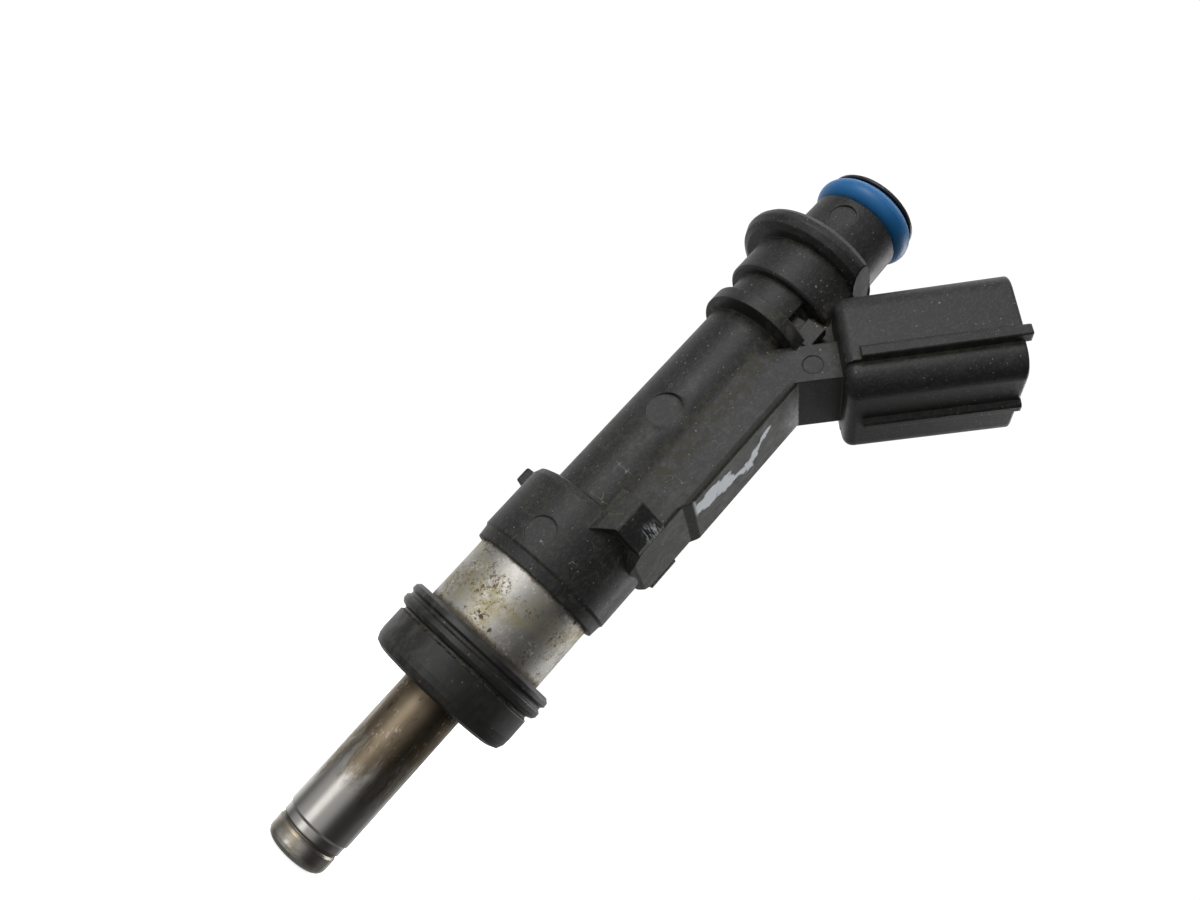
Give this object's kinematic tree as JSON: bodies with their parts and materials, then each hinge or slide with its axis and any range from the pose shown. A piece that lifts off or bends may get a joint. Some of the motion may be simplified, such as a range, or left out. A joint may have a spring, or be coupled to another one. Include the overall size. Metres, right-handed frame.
{
  "type": "fuel injector",
  "caption": "Port fuel injector with a long slim steel nozzle, rubber seating cushion, steel solenoid can, black moulded body, blue upper seal and an angled two-blade connector.",
  "frame": {"origin": "on the injector axis, in the plane of the rubber cushion's lower face, which rests on the intake port", "axes": "+Z along the injector axis towards the fuel inlet, +X towards the electrical connector, XZ the plane of symmetry"},
  "size_m": [0.0431, 0.0214, 0.1088],
  "materials": {
    "black_nylon": "glass-filled nylon, matte, dusty",
    "blue_seal_rubber": "satin elastomer",
    "black_rubber": "matte rubber with dust in its grooves",
    "filter_plastic": "semi-gloss black",
    "filter_mesh": "woven nylon mesh",
    "stainless_tube": "drawn stainless",
    "plated_can": "satin plated steel with light staining",
    "bobbin_plastic": "natural glass-filled nylon",
    "copper_wire": "enamelled copper wire",
    "core_steel": "ground magnetic stainless",
    "spring_steel": "music wire",
    "polished_steel": "polished",
    "nozzle_steel": "polished stainless with brown heat stain",
    "tinned_terminal": "tin-plated brass"
  },
  "bodies": {
    "injector": {"overmould_body": "black_nylon", "upper_o_ring": "blue_seal_rubber", "lower_cushion": "black_rubber", "inlet_filter_frame": "filter_plastic", "inlet_filter_mesh": "filter_mesh", "inlet_tube": "stainless_tube", "solenoid_housing": "plated_can", "coil_bobbin": "bobbin_plastic", "coil_winding": "copper_wire", "upper_yoke_ring": "core_steel", "nonmagnetic_ring": "stainless_tube", "fixed_core": "core_steel", "adjuster_sleeve": "core_steel", "return_spring": "spring_steel", "nozzle_tube": "nozzle_steel", "nozzle_cap": "nozzle_steel", "orifice_plate": "polished_steel", "valve_seat": "core_steel", "needle_guide": "core_steel", "terminal_left": "tinned_terminal", "terminal_right": "tinned_terminal"},
    "needle": {"armature": "core_steel", "needle_tube": "stainless_tube", "valve_ball": "polished_steel"}
  },
  "joints": [
    {"name": "needle_lift", "type": "slide", "parent": "injector", "child": "needle", "axis": [0, 0, 1], "range_m": [0, 0.0001], "stiffness_N_per_m": 300, "springref_m": -0.003, "deforming": ["return_spring"]}
  ]
}
